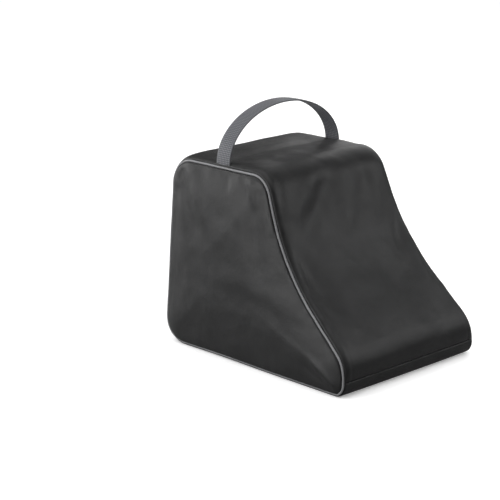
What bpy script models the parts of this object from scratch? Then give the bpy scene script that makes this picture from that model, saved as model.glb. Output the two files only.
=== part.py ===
"""Shoe bag: a boot-shaped zipped bag of woven polyester with piped side panels and a webbing
carry handle.  Metres, +Z up, +X towards the toe, +Y the bag's left side.  The origin is at the
middle of the bag's footprint, on the surface it stands on."""

import math

import bmesh
import bpy
from mathutils import Matrix, Vector

# ---------------------------------------------------------------- driving sizes
# Side outline, measured along the bag from its lower rear corner.
BASE_LENGTH = 0.3530         # from the rear corner to the front of the toe
REAR_HEIGHT = 0.266          # corner where the rear face and the top meet
REAR_LEAN = 0.004            # how far that corner leans forward of the base
TOP_LENGTH = 0.186           # from that corner to the front edge of the top
TOP_RISE = 0.002             # how much higher the front edge of the top is
KNEE_SETBACK = 0.117         # the hollow of the instep, back from the toe
KNEE_HEIGHT = 0.150
TOE_HEIGHT = 0.045           # corner where the instep and the toe meet
HEEL_RADIUS = 0.038
REAR_TOP_RADIUS = 0.039
TOP_FRONT_RADIUS = 0.036
KNEE_RADIUS = 0.300
TOE_TOP_RADIUS = 0.050
TOE_BASE_RADIUS = 0.018
HALF_WIDTH_BASE = 0.1305     # half the width at the floor
HALF_WIDTH_TOP = 0.1105      # half the width at the top

# Cloth, piping and bindings.
FABRIC = 0.0012
GAP = 0.0003                 # clearance between pieces that touch
PIPING_RADIUS = 0.0015
PIPING_PROUD = 0.0005        # how far the piping stands out of the side panel
BINDING_WIDTH = 0.008
BINDING_THICKNESS = 0.002
BINDING_CLEARANCE = 0.0007   # from the piping to the binding
TOE_SEAM_HEIGHT = 0.022      # where the base turned up at the toe ends
BOARD_THICKNESS = 0.002
BOARD_CLEARANCE = 0.0006
BOARD_CORNER = 0.018

# Zip round the rear flap, measured from the middle line between its two chains.
ZIP_RADIUS = 0.040
ZIP_END_CLEARANCE = 0.0020   # from the base seam to the end of the tape
TAPE_THICKNESS = 0.0006
TAPE_WIDTH = 0.0124
TAPE_END = 0.003             # where both tapes are sewn together at their lower ends
ZIP_EDGE_CLEARANCE = 0.0015  # from the tape to the bindings and seams around it
FABRIC_EDGE = 0.0070         # from the middle line to the folded edge of the fabric
CHAIN_SPLIT = 0.0006         # half the space between the two chains
CHAIN_WIDTH = 0.0024
CHAIN_PROUD = 0.0009
CHAIN_DEPTH = 0.0012
STOP_LENGTH = 0.0030
STOP_CLEARANCE = 0.0008

# Slider and puller.
SLIDER_LENGTH = 0.013
SLIDER_PLATE = 0.0012
SLIDER_CLEARANCE = 0.0004
SLIDER_FLANGE = 0.0008
SLIDER_FLANGE_DROP = 0.0011
SLIDER_WEB = 0.0005
BRIDGE_LENGTH = 0.0080
BRIDGE_WIDTH = 0.0014
BRIDGE_POST = 0.0015
BRIDGE_WINDOW = 0.0026
BRIDGE_BAR = 0.0011
HINGE_ABOVE_SLIDER = 0.0050  # from the parked slider to the fold of the flap
PULLER_WIDTH = 0.0080
PULLER_LENGTH = 0.0300
PULLER_THICKNESS = 0.0014
PULLER_BAR = 0.0016
PULLER_SLOT = 0.0066
PULLER_SLOT_SIDE = 0.0018

# Webbing handle over the top.
HANDLE_X = 0.1028            # middle of the webbing, from the lower rear corner
WEBBING_WIDTH = 0.0265
WEBBING_THICKNESS = 0.0016
HANDLE_RISE = 0.0735         # height of the arch above the top panel
HANDLE_INSET = 0.0022        # from the side panel to the webbing's root
ROOT_CLEARANCE = 0.0006      # from the top panel to the webbing's lower end

ARC_STEPS = 8
KNEE_STEPS = 6
ZIP_STEPS = 8

# ---------------------------------------------------------------- derived frame
LEAN = math.atan2(REAR_LEAN, REAR_HEIGHT)
ZIP_OUTER = CHAIN_PROUD + SLIDER_CLEARANCE
BRIDGE_TOP = ZIP_OUTER + SLIDER_PLATE + BRIDGE_WINDOW + BRIDGE_BAR
PIVOT_OUT = ZIP_OUTER + SLIDER_PLATE + BRIDGE_WINDOW / 2


def half_width(z):
    """Half the bag's width at height z: the side panels lean in towards the top."""
    return HALF_WIDTH_BASE + (HALF_WIDTH_TOP - HALF_WIDTH_BASE) * z / REAR_HEIGHT


def corner_list():
    """Corners of the side outline from the lower rear one, with their radii and arc steps."""
    toe = BASE_LENGTH
    return [
        (0.0, 0.0, HEEL_RADIUS, ARC_STEPS),
        (REAR_LEAN, REAR_HEIGHT, REAR_TOP_RADIUS, ARC_STEPS),
        (REAR_LEAN + TOP_LENGTH, REAR_HEIGHT + TOP_RISE, TOP_FRONT_RADIUS, ARC_STEPS),
        (toe - KNEE_SETBACK, KNEE_HEIGHT, KNEE_RADIUS, KNEE_STEPS),
        (toe, TOE_HEIGHT, TOE_TOP_RADIUS, ARC_STEPS),
        (toe, 0.0, TOE_BASE_RADIUS, ARC_STEPS),
    ]


def tangent_lengths(corners):
    """Length of edge each rounded corner takes, held to what its two edges can give."""
    count = len(corners)
    spots = [Vector((c[0], c[1])) for c in corners]
    halves = []
    for i in range(count):
        back = (spots[i - 1] - spots[i]).normalized()
        ahead = (spots[(i + 1) % count] - spots[i]).normalized()
        halves.append(back.angle(ahead) / 2)
    wanted = [corners[i][2] / math.tan(halves[i]) for i in range(count)]
    lengths = list(wanted)
    for i in range(count):
        j = (i + 1) % count
        room = (spots[j] - spots[i]).length * 0.98
        if wanted[i] + wanted[j] > room:
            share = room / (wanted[i] + wanted[j])
            lengths[i] = min(lengths[i], wanted[i] * share)
            lengths[j] = min(lengths[j], wanted[j] * share)
    return spots, halves, lengths


def side_outline():
    """Points and outward normals round the side outline, up the rear and down to the toe."""
    corners = corner_list()
    spots, halves, lengths = tangent_lengths(corners)
    count = len(corners)
    points = []
    normals = []
    for i in range(count):
        spot = spots[i]
        back = (spots[i - 1] - spot).normalized()
        ahead = (spots[(i + 1) % count] - spot).normalized()
        radius = lengths[i] * math.tan(halves[i])
        middle = spot + (back + ahead).normalized() * radius / math.sin(halves[i])
        start = spot + back * lengths[i] - middle
        end = spot + ahead * lengths[i] - middle
        turn = start.angle_signed(end)
        steps = corners[i][3]
        for k in range(steps + 1):
            spoke = start.copy()
            spoke.rotate(Matrix.Rotation(-turn * k / steps, 2))
            points.append(middle + spoke)
            normals.append(spoke.normalized() * (1.0 if turn > 0 else -1.0))
    return points, normals, lengths


OUTLINE, NORMALS, TANGENTS = side_outline()

# Heights along the rear face, from the lower rear corner.
REAR_FACE = math.hypot(REAR_LEAN, REAR_HEIGHT)
REAR_LOW = TANGENTS[0] + 0.0010
REAR_HIGH = REAR_FACE - TANGENTS[1]
TAPE_LOW = REAR_LOW + ZIP_END_CLEARANCE
STOP_LOW = TAPE_LOW + TAPE_END + STOP_CLEARANCE
CHAIN_LOW = STOP_LOW + STOP_LENGTH + STOP_CLEARANCE
SLIDER_LOW = CHAIN_LOW + STOP_CLEARANCE
PIVOT_S = SLIDER_LOW + SLIDER_LENGTH / 2
HINGE_S = SLIDER_LOW + SLIDER_LENGTH + HINGE_ABOVE_SLIDER
TAPE_EDGE = CHAIN_SPLIT + TAPE_WIDTH
ZIP_TOP = REAR_HIGH - TAPE_EDGE - ZIP_EDGE_CLEARANCE

# The origin stands midway between the toe and the slider's bridge, the rearmost piece.
REARMOST = (PIVOT_S - BRIDGE_LENGTH / 2) * math.sin(LEAN) - BRIDGE_TOP * math.cos(LEAN)
ORIGIN_X = (BASE_LENGTH + REARMOST) / 2

# Distances from the side panels inwards.
PIPING_AXIS = PIPING_RADIUS - PIPING_PROUD
PANEL_EDGE = PIPING_AXIS + PIPING_RADIUS + GAP
BINDING_OUT = PIPING_AXIS + PIPING_RADIUS + BINDING_CLEARANCE
BINDING_IN = BINDING_OUT + BINDING_WIDTH
ZIP_HALF = (half_width(REAR_HIGH * math.cos(LEAN)) - BINDING_IN - ZIP_EDGE_CLEARANCE
            - TAPE_EDGE)


# ---------------------------------------------------------------- helpers
def clear_scene():
    for item in list(bpy.data.objects):
        bpy.data.objects.remove(item, do_unlink=True)


def new_collection(name):
    collection = bpy.data.collections.new(name)
    bpy.context.scene.collection.children.link(collection)
    return collection


def material(name, color, roughness, metallic=0.0):
    made = bpy.data.materials.new(name)
    made.use_nodes = True
    shader = made.node_tree.nodes["Principled BSDF"]
    shader.inputs["Base Color"].default_value = (*color, 1.0)
    shader.inputs["Roughness"].default_value = roughness
    shader.inputs["Metallic"].default_value = metallic
    return made


def curve_mesh(name, loops, cyclic=True, extrude=0.0, bevel=0.0, fill="BOTH"):
    """A mesh made from a poly curve: a filled flat outline, a ribbon or a round tube."""
    data = bpy.data.curves.new(name, "CURVE")
    data.dimensions = "3D" if bevel else "2D"
    if not bevel:
        data.fill_mode = fill
    data.extrude = extrude
    data.bevel_depth = bevel
    data.bevel_resolution = 2
    for loop in loops:
        spline = data.splines.new("POLY")
        spline.points.add(len(loop) - 1)
        for point, spot in zip(spline.points, loop):
            z = spot[2] if len(spot) > 2 else 0.0
            point.co = (spot[0], spot[1], z, 1.0)
        spline.use_cyclic_u = cyclic
    holder = bpy.data.objects.new(name + "_curve", data)
    bpy.context.scene.collection.objects.link(holder)
    graph = bpy.context.evaluated_depsgraph_get()
    mesh = bpy.data.meshes.new_from_object(holder.evaluated_get(graph))
    bpy.data.objects.remove(holder, do_unlink=True)
    bpy.data.curves.remove(data)
    tidy = bmesh.new()
    tidy.from_mesh(mesh)
    bmesh.ops.remove_doubles(tidy, verts=tidy.verts, dist=0.000005)
    bmesh.ops.recalc_face_normals(tidy, faces=tidy.faces)
    tidy.to_mesh(mesh)
    tidy.free()
    mesh.name = name
    return mesh


def put(name, mesh, finish, matrix=None, parent=None):
    """Link a mesh as a part of the bag, optionally under a parent empty."""
    item = bpy.data.objects.new(name, mesh)
    mesh.materials.clear()
    mesh.materials.append(finish)
    BAG.objects.link(item)
    if parent is not None:
        item.parent = parent
    if matrix is not None:
        item.matrix_basis = matrix
    return item


def solidify(item, thickness):
    """Thicken an open sheet inwards from its outer face."""
    made = item.modifiers.new("cloth", "SOLIDIFY")
    made.thickness = thickness
    made.offset = -1.0
    made.use_even_offset = True
    return made


def remap(mesh, rule):
    for vertex in mesh.vertices:
        vertex.co = rule(vertex.co)
    mesh.update()


def outline_loop(inset):
    """The closed side outline moved inwards by inset."""
    return [p - n * inset for p, n in zip(OUTLINE, NORMALS)]


def outline_lengths():
    total = [0.0]
    for a, b in zip(OUTLINE, OUTLINE[1:] + OUTLINE[:1]):
        total.append(total[-1] + (b - a).length)
    return total


def outline_run(start, end, inset):
    """An open run of the outline between two lengths along it, moved inwards by inset."""
    marks = outline_lengths()
    whole = marks[-1]
    points = OUTLINE + OUTLINE[:1]
    normals = NORMALS + NORMALS[:1]

    def at(length):
        length = length % whole
        for i in range(len(marks) - 1):
            if marks[i] <= length <= marks[i + 1]:
                step = (length - marks[i]) / max(marks[i + 1] - marks[i], 1e-9)
                spot = points[i].lerp(points[i + 1], step)
                way = normals[i].lerp(normals[i + 1], step).normalized()
                return spot - way * inset
        return points[0] - normals[0] * inset

    lengths = [start]
    for lap in (0, 1):
        for mark in marks[:-1]:
            if start + 1e-5 < mark + lap * whole < end - 1e-5:
                lengths.append(mark + lap * whole)
    lengths.append(end)
    return [at(length) for length in lengths]


def mark_on_rear(s):
    """Length along the outline of a point s up the rear face."""
    steps = ARC_STEPS
    return outline_lengths()[steps] + s - TANGENTS[0]


def mark_on_toe(height):
    """Length along the outline of the point of the toe at a height above the floor."""
    marks = outline_lengths()
    for i in range(len(OUTLINE) - 1, 0, -1):
        low, high = OUTLINE[i], OUTLINE[i - 1]
        if low.y <= height <= high.y and high.x > BASE_LENGTH * 0.7:
            step = (high.y - height) / max(high.y - low.y, 1e-9)
            return marks[i - 1] + (marks[i] - marks[i - 1]) * step
    return marks[-2]


def strip(name, run, low, high, thickness, finish):
    """A strip of cloth along a run of the outline, between two distances across the bag.

    low and high are functions of the height that give the strip's two edges."""
    mesh = curve_mesh(name, [[(p.x, p.y) for p in run]], cyclic=False, extrude=1.0)

    def place(spot):
        share = (spot.z + 1.0) / 2
        across = low(spot.y) * (1 - share) + high(spot.y) * share
        return Vector((spot.x - ORIGIN_X, across, spot.y))

    remap(mesh, place)
    face = mesh.polygons[0]
    middle = Vector((BASE_LENGTH * 0.45 - ORIGIN_X, face.center.y, REAR_HEIGHT * 0.35))
    if face.normal.dot(face.center - middle) < 0:
        mesh.flip_normals()
    item = put(name, mesh, finish)
    solidify(item, thickness)
    return item


def plate(name, loops, inner, outer, finish, parent=None, matrix=None):
    """A flat piece from closed outlines, from inner to outer along its own Z axis."""
    mesh = curve_mesh(name, loops, extrude=(outer - inner) / 2)
    remap(mesh, lambda spot: Vector((spot.x, spot.y, spot.z + (outer + inner) / 2)))
    return put(name, mesh, finish, matrix=matrix, parent=parent)


def rounded_box(x0, x1, y0, y1, radius, steps=4):
    points = []
    for cx, cy, start in ((x1, y1, 0), (x0, y1, 90), (x0, y0, 180), (x1, y0, 270)):
        mx = cx - math.copysign(radius, cx - (x0 + x1) / 2)
        my = cy - math.copysign(radius, cy - (y0 + y1) / 2)
        for k in range(steps + 1):
            angle = math.radians(start + 90 * k / steps)
            points.append((mx + radius * math.cos(angle), my + radius * math.sin(angle)))
    return points


def zip_run(offset, low):
    """Path beside the zip's middle line: up one leg, over the top and down the other."""
    half = ZIP_HALF + offset
    top = ZIP_TOP + offset
    radius = ZIP_RADIUS + offset
    points = [(-half, low)]
    for side, start in ((-1, 180), (1, 90)):
        for k in range(ZIP_STEPS + 1):
            angle = math.radians(start - 90 * k / ZIP_STEPS)
            x = side * (half - radius) + radius * math.cos(angle)
            points.append((x, top - radius + radius * math.sin(angle)))
    points.append((half, low))
    return points


def box_mesh(name, low, high):
    mesh = bpy.data.meshes.new(name)
    work = bmesh.new()
    bmesh.ops.create_cube(work, size=1.0)
    for vertex in work.verts:
        for axis in range(3):
            span = high[axis] - low[axis]
            vertex.co[axis] = low[axis] + (vertex.co[axis] + 0.5) * span
    work.to_mesh(mesh)
    work.free()
    return mesh


# ---------------------------------------------------------------- the scene
clear_scene()
BAG = new_collection("shoe_bag")
CUTTERS = new_collection("cutters")
SIDE_CLOTH = material("side_cloth", (0.045, 0.045, 0.047), 0.85)
BODY_CLOTH = material("body_cloth", (0.035, 0.035, 0.037), 0.85)
PIPING = material("piping_cloth", (0.36, 0.36, 0.37), 0.75)
WEBBING = material("handle_webbing", (0.15, 0.155, 0.17), 0.80)
BINDING = material("binding_tape", (0.02, 0.02, 0.02), 0.90)
BOARD = material("base_board", (0.05, 0.05, 0.05), 0.60)
TAPE = material("zip_tape", (0.02, 0.02, 0.021), 0.85)
CHAIN = material("zip_teeth", (0.03, 0.03, 0.03), 0.45)
METAL = material("zip_metal", (0.18, 0.18, 0.19), 0.35, 1.0)


def make_side_panels():
    """Two flat-cut side panels, leaning in towards the top, inside their piping."""
    loop = [(p.x, p.y) for p in outline_loop(2 * PIPING_RADIUS + GAP)]
    for name, side in (("side_panel_left", 1), ("side_panel_right", -1)):
        mesh = curve_mesh(name, [loop], extrude=FABRIC / 2)

        def place(spot):
            across = half_width(spot.y) - FABRIC / 2 + spot.z
            return Vector((spot.x - ORIGIN_X, side * across, spot.y))

        remap(mesh, place)
        # Standing the flat outline upright turns it over on the left side only.
        if side > 0:
            mesh.flip_normals()
        put(name, mesh, SIDE_CLOTH)


def make_gusset():
    """The top and front in one length, and the base that turns up at the toe and the heel."""
    toe = mark_on_toe(TOE_SEAM_HEIGHT)
    whole = outline_lengths()[-1]
    heel = mark_on_rear(REAR_LOW)
    high = mark_on_rear(REAR_HIGH)

    def low_edge(z):
        return PANEL_EDGE - half_width(z)

    def high_edge(z):
        return half_width(z) - PANEL_EDGE

    strip("top_front_panel", outline_run(high + GAP / 2, toe - GAP / 2, 0.0),
          low_edge, high_edge, FABRIC, BODY_CLOTH)
    strip("base_panel", outline_run(toe + GAP / 2, whole + heel - GAP / 2, 0.0),
          low_edge, high_edge, FABRIC, BODY_CLOTH)


def make_piping():
    """Round corded piping in both side seams."""
    for name, side in (("piping_left", 1), ("piping_right", -1)):
        path = []
        for p in outline_loop(PIPING_RADIUS):
            across = side * (half_width(p.y) - PIPING_AXIS)
            path.append((p.x - ORIGIN_X, across, p.y))
        mesh = curve_mesh(name, [path], bevel=PIPING_RADIUS)
        mesh.shade_smooth()
        put(name, mesh, PIPING)


def make_bindings():
    """Binding tape sewn over the raw seam edges, inside both side seams."""
    start = mark_on_toe(TOE_SEAM_HEIGHT)
    whole = outline_lengths()[-1]
    run = outline_run(start + GAP, start + whole - 2 * GAP, FABRIC + GAP)
    for name, side in (("seam_binding_left", 1), ("seam_binding_right", -1)):

        def low_edge(z):
            return side * (half_width(z) - BINDING_OUT)

        def high_edge(z):
            return side * (half_width(z) - BINDING_IN)

        strip(name, run, low_edge, high_edge, BINDING_THICKNESS, BINDING)


def make_base_board():
    """Stiffening board that lies on the base inside the bag."""
    low = TANGENTS[0]
    high = BASE_LENGTH - TANGENTS[5]
    half = half_width(0.0) - BINDING_IN - BOARD_CLEARANCE
    loop = rounded_box(low - ORIGIN_X, high - ORIGIN_X, -half, half, BOARD_CORNER)
    bottom = FABRIC + GAP
    plate("base_board", [loop], bottom, bottom + BOARD_THICKNESS, BOARD)


def rear_frame():
    """Empty on the rear face: X across, Y up the face, Z out of the bag."""
    empty = bpy.data.objects.new("rear_frame", None)
    BAG.objects.link(empty)
    across = Vector((0, -1, 0))
    up = Vector((math.sin(LEAN), 0, math.cos(LEAN)))
    out = Vector((-math.cos(LEAN), 0, math.sin(LEAN)))
    turn = Matrix((across, up, out)).transposed().to_4x4()
    empty.matrix_world = Matrix.Translation((-ORIGIN_X, 0, 0)) @ turn
    return empty


def make_rear_face(frame):
    """The surround of the rear opening, and the flap that the zip closes it with."""
    def edge(s):
        return half_width(s * math.cos(LEAN)) - PANEL_EDGE

    low = REAR_LOW + GAP / 2
    high = REAR_HIGH - GAP / 2
    outer = [(-edge(low), low), (edge(low), low), (edge(high), high), (-edge(high), high)]
    opening = zip_run(FABRIC_EDGE, TAPE_LOW + TAPE_END)
    inner = ZIP_HALF - FABRIC_EDGE
    fold = HINGE_S - GAP / 2
    foot = TAPE_LOW + TAPE_END
    opening += [(inner, foot), (inner, fold), (-inner, fold), (-inner, foot)]
    plate("rear_surround", [outer, opening], -FABRIC, 0.0, BODY_CLOTH, parent=frame)

    hinge = bpy.data.objects.new("flap_hinge", None)
    BAG.objects.link(hinge)
    hinge.parent = frame
    hinge.matrix_basis = Matrix.Translation((0, HINGE_S, 0))
    flap = [(x, y - HINGE_S) for x, y in zip_run(-FABRIC_EDGE, HINGE_S + GAP / 2)]
    plate("rear_flap_panel", [flap], -FABRIC, 0.0, BODY_CLOTH, parent=hinge)
    return hinge


def make_zip(frame, hinge):
    """Both tapes with their chains, sewn under the fabric edges, and the end stops."""
    split = CHAIN_SPLIT
    tape_out = -FABRIC - GAP
    tape_in = tape_out - TAPE_THICKNESS
    fold = HINGE_S - GAP
    seam = TAPE_LOW + TAPE_END
    inner = ZIP_HALF - TAPE_EDGE
    path = zip_run(TAPE_EDGE, TAPE_LOW)
    path += [(inner, TAPE_LOW), (inner, fold), (ZIP_HALF - split, fold)]
    path += [(ZIP_HALF - split, seam), (ZIP_HALF + split, seam)]
    path += zip_run(split, seam + GAP)[::-1]
    path += [(-ZIP_HALF - split, seam), (-ZIP_HALF + split, seam)]
    path += [(-ZIP_HALF + split, fold), (-inner, fold), (-inner, TAPE_LOW)]
    plate("zip_tape_outer", [path], tape_in, tape_out, TAPE, parent=frame)

    upper = HINGE_S + GAP
    path = zip_run(-split, upper) + zip_run(-TAPE_EDGE, upper)[::-1]
    path = [(x, y - HINGE_S) for x, y in path]
    plate("zip_tape_flap", [path], tape_in, tape_out, TAPE, parent=hinge)

    chain = split + CHAIN_WIDTH
    path = zip_run(chain, CHAIN_LOW) + zip_run(split, CHAIN_LOW)[::-1]
    plate("zip_chain_outer", [path], -CHAIN_DEPTH, CHAIN_PROUD, CHAIN, parent=frame)

    upper = HINGE_S + CHAIN_PROUD + 2 * GAP
    path = zip_run(-split, upper) + zip_run(-chain, upper)[::-1]
    path = [(x, y - HINGE_S) for x, y in path]
    plate("zip_chain_flap", [path], -CHAIN_DEPTH, CHAIN_PROUD, CHAIN, parent=hinge)

    for name, side in (("left", -1), ("right", 1)):
        a = side * (ZIP_HALF - split)
        b = side * (ZIP_HALF - chain)
        loop = [(a, CHAIN_LOW), (b, CHAIN_LOW), (b, fold), (a, fold)]
        plate("zip_chain_end_" + name, [loop], -CHAIN_DEPTH, CHAIN_PROUD, CHAIN, parent=frame)
        a = side * (ZIP_HALF - chain)
        b = side * (ZIP_HALF + chain)
        loop = [(a, STOP_LOW), (b, STOP_LOW), (b, STOP_LOW + STOP_LENGTH)]
        loop += [(a, STOP_LOW + STOP_LENGTH)]
        plate("zip_stop_" + name, [loop], -CHAIN_DEPTH, CHAIN_PROUD + GAP, METAL, parent=frame)


def make_slider(frame):
    """Slider on the left leg: two plates joined by a web between the chains, and a bridge."""
    chain = CHAIN_SPLIT + CHAIN_WIDTH
    side = chain + SLIDER_CLEARANCE + SLIDER_FLANGE
    lip = side - SLIDER_FLANGE
    web = SLIDER_WEB / 2
    under = ZIP_OUTER
    top = under + SLIDER_PLATE
    inner = -(FABRIC + GAP + TAPE_THICKNESS + SLIDER_CLEARANCE)
    bottom = inner - SLIDER_PLATE * 0.85
    half = [(web, inner), (side, inner), (side, bottom)]
    right = [(side, top), (side, under - SLIDER_FLANGE_DROP), (lip, under - SLIDER_FLANGE_DROP)]
    right += [(lip, under), (web, under)] + half
    left = [(-x, z) for x, z in right[::-1]]
    mesh = curve_mesh("zip_slider", [right + left], extrude=SLIDER_LENGTH / 2)
    remap(mesh, lambda p: Vector((p.x, -p.z, p.y)))

    long = BRIDGE_LENGTH / 2
    post = long - BRIDGE_POST
    sink = top - SLIDER_PLATE / 2
    arch = [(-long, sink), (-long, BRIDGE_TOP), (long, BRIDGE_TOP), (long, sink)]
    arch += [(post, sink), (post, top + BRIDGE_WINDOW), (-post, top + BRIDGE_WINDOW)]
    arch += [(-post, sink)]
    bridge = curve_mesh("slider_bridge", [arch], extrude=BRIDGE_WIDTH / 2)
    remap(bridge, lambda p: Vector((p.z, p.x, p.y)))

    place = Matrix.Translation((-ZIP_HALF, PIVOT_S, 0))
    slider = put("zip_slider", mesh, METAL, matrix=place, parent=frame)
    cutter = bpy.data.objects.new("slider_bridge", bridge)
    CUTTERS.objects.link(cutter)
    cutter.parent = frame
    cutter.matrix_basis = place
    cutter.hide_render = True
    cutter.display_type = "WIRE"
    join = slider.modifiers.new("bridge", "BOOLEAN")
    join.operation = "UNION"
    join.use_self = True
    join.object = cutter


def make_puller(frame):
    """Flat metal puller that hangs from the slider's bridge by its cross bar."""
    pivot = bpy.data.objects.new("puller_pivot", None)
    BAG.objects.link(pivot)
    pivot.parent = frame
    pivot.matrix_basis = Matrix.Translation((-ZIP_HALF, PIVOT_S, PIVOT_OUT))
    half = PULLER_WIDTH / 2
    bar = PULLER_BAR / 2
    tip = PULLER_LENGTH - bar
    outer = [(-half, bar), (half, bar)]
    steps = 6
    for k in range(steps + 1):
        angle = math.pi * k / steps
        outer.append((half * math.cos(angle), -(tip - half) - half * math.sin(angle)))
    slot = half - PULLER_SLOT_SIDE
    window = [(-slot, -bar), (slot, -bar), (slot, -bar - PULLER_SLOT), (-slot, -bar - PULLER_SLOT)]
    thick = PULLER_THICKNESS / 2
    plate("zip_puller", [outer, window], -thick, thick, METAL, parent=pivot)


def top_height(x):
    """Height of the top panel above the floor at x along the bag."""
    return REAR_HEIGHT + TOP_RISE * (x - REAR_LEAN) / TOP_LENGTH


def make_handle():
    """Webbing carried over the top, with its two ends sewn into the side seams."""
    half = WEBBING_WIDTH / 2
    high = max(top_height(HANDLE_X - half), top_height(HANDLE_X + half))
    foot = high + ROOT_CLEARANCE
    axis = foot + half
    thick = WEBBING_THICKNESS / 2
    span = half_width(axis) - HANDLE_INSET - WEBBING_THICKNESS - GAP - thick

    pivot = bpy.data.objects.new("handle_pivot", None)
    BAG.objects.link(pivot)
    pivot.location = (HANDLE_X - ORIGIN_X, 0, axis)

    # The moving length: half an ellipse, from one sewn root over to the other.
    steps = 24
    left = []
    right = []
    for k in range(steps + 1):
        angle = math.pi * k / steps
        spot = Vector((-span * math.cos(angle), HANDLE_RISE * math.sin(angle) + foot - axis))
        way = Vector((-HANDLE_RISE * math.cos(angle), span * math.sin(angle))).normalized()
        left.append((spot + way * thick).to_tuple())
        right.append((spot - way * thick).to_tuple())
    mesh = curve_mesh("handle_webbing", [left + right[::-1]], extrude=half)
    remap(mesh, lambda p: Vector((p.z, p.x, p.y)))
    strap = put("handle_webbing", mesh, WEBBING, parent=pivot)

    # Round ends: everything below the hinge line is trimmed to a disc about it.
    disc = bpy.data.meshes.new("round_end")
    work = bmesh.new()
    turn = Matrix.Rotation(math.pi / 2, 4, "X")
    bmesh.ops.create_cone(work, cap_ends=True, segments=24, radius1=half, radius2=half,
                          depth=span * 4, matrix=turn)
    work.to_mesh(disc)
    work.free()
    tall = box_mesh("arch_space", (-half, -span * 2, 0.0), (half, span * 2, HANDLE_RISE * 2))
    keep = bpy.data.objects.new("round_end", disc)
    block = bpy.data.objects.new("arch_space", tall)
    for cutter in (keep, block):
        CUTTERS.objects.link(cutter)
        cutter.parent = pivot
        cutter.hide_render = True
        cutter.display_type = "WIRE"
    join = keep.modifiers.new("arch_space", "BOOLEAN")
    join.operation = "UNION"
    join.object = block
    trim = strap.modifiers.new("round_end", "BOOLEAN")
    trim.operation = "INTERSECT"
    trim.object = keep

    # The sewn roots: short upright lengths, just outside the moving ends.
    near = span + thick + GAP
    far = near + WEBBING_THICKNESS
    for name, side in (("handle_root_left", 1), ("handle_root_right", -1)):
        loop = [(near, foot), (far, foot), (far, axis), (near, axis)]
        mesh = curve_mesh(name, [loop], extrude=half)
        remap(mesh, lambda p: Vector((p.z, side * p.x, p.y)))
        if side < 0:
            mesh.flip_normals()
        put(name, mesh, WEBBING, matrix=Matrix.Translation((HANDLE_X - ORIGIN_X, 0, 0)))


make_side_panels()
make_gusset()
make_piping()
make_bindings()
make_base_board()
FRAME = rear_frame()
HINGE = make_rear_face(FRAME)
make_zip(FRAME, HINGE)
make_slider(FRAME)
make_puller(FRAME)
make_handle()
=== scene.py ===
import math

import bmesh
import bpy
import numpy as np
from mathutils import Matrix, Vector, noise
from mathutils.bvhtree import BVHTree


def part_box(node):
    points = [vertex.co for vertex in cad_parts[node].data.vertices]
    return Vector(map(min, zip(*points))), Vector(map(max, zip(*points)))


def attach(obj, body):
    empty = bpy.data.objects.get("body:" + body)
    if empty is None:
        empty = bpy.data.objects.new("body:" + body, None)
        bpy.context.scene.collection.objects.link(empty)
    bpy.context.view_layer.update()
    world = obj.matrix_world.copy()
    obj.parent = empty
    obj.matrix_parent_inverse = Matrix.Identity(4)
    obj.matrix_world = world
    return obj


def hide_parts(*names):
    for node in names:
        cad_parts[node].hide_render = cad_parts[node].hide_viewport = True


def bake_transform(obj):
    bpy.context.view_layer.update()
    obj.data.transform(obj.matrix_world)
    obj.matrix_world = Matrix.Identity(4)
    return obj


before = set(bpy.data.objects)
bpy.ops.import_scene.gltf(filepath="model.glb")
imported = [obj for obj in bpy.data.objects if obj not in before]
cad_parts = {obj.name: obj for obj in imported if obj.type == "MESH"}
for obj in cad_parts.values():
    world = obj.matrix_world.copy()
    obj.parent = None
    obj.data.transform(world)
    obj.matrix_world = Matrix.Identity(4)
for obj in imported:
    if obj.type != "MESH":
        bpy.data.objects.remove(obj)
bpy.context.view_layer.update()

both_sides = (("left", 1), ("right", -1))


# ------------------------ side panels
# Two boot-shaped panels of plain-woven black polyester, cut flat and sewn all round into
# the corded seams.  They lean in towards the top, belly out a little, and pull into soft
# folds at the corners.
base_length = 0.3530
rear_height = 0.266
rear_set_back = 0.004         # how far the rear face leans forward over its height
half_width_floor = 0.1305
half_width_top = 0.1105
outline_corners = [(0.0, 0.0), (rear_set_back, rear_height), (0.190, 0.268), (0.236, 0.150),
                   (base_length, 0.045), (base_length, 0.0)]
outline_radii = [0.038, 0.039, 0.036, 0.300, 0.050, 0.018]
cloth_thickness = 0.0011
piping_radius = 0.0015
side_edge_inset = 0.0040      # from the outline to the cut edge of the side panel
side_roll = 0.0022            # radius at which the cloth turns down into its seam
side_belly = 0.0095
rear_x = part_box("base_panel")[1][0] - base_length


def half_width(z):
    """Half the bag's width at height z."""
    return half_width_floor + (half_width_top - half_width_floor) * z / rear_height


def length_marks(points):
    """The length run at each of a line's points."""
    return np.concatenate([[0.0], np.cumsum(np.linalg.norm(np.diff(points, axis=0), axis=1))])


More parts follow.
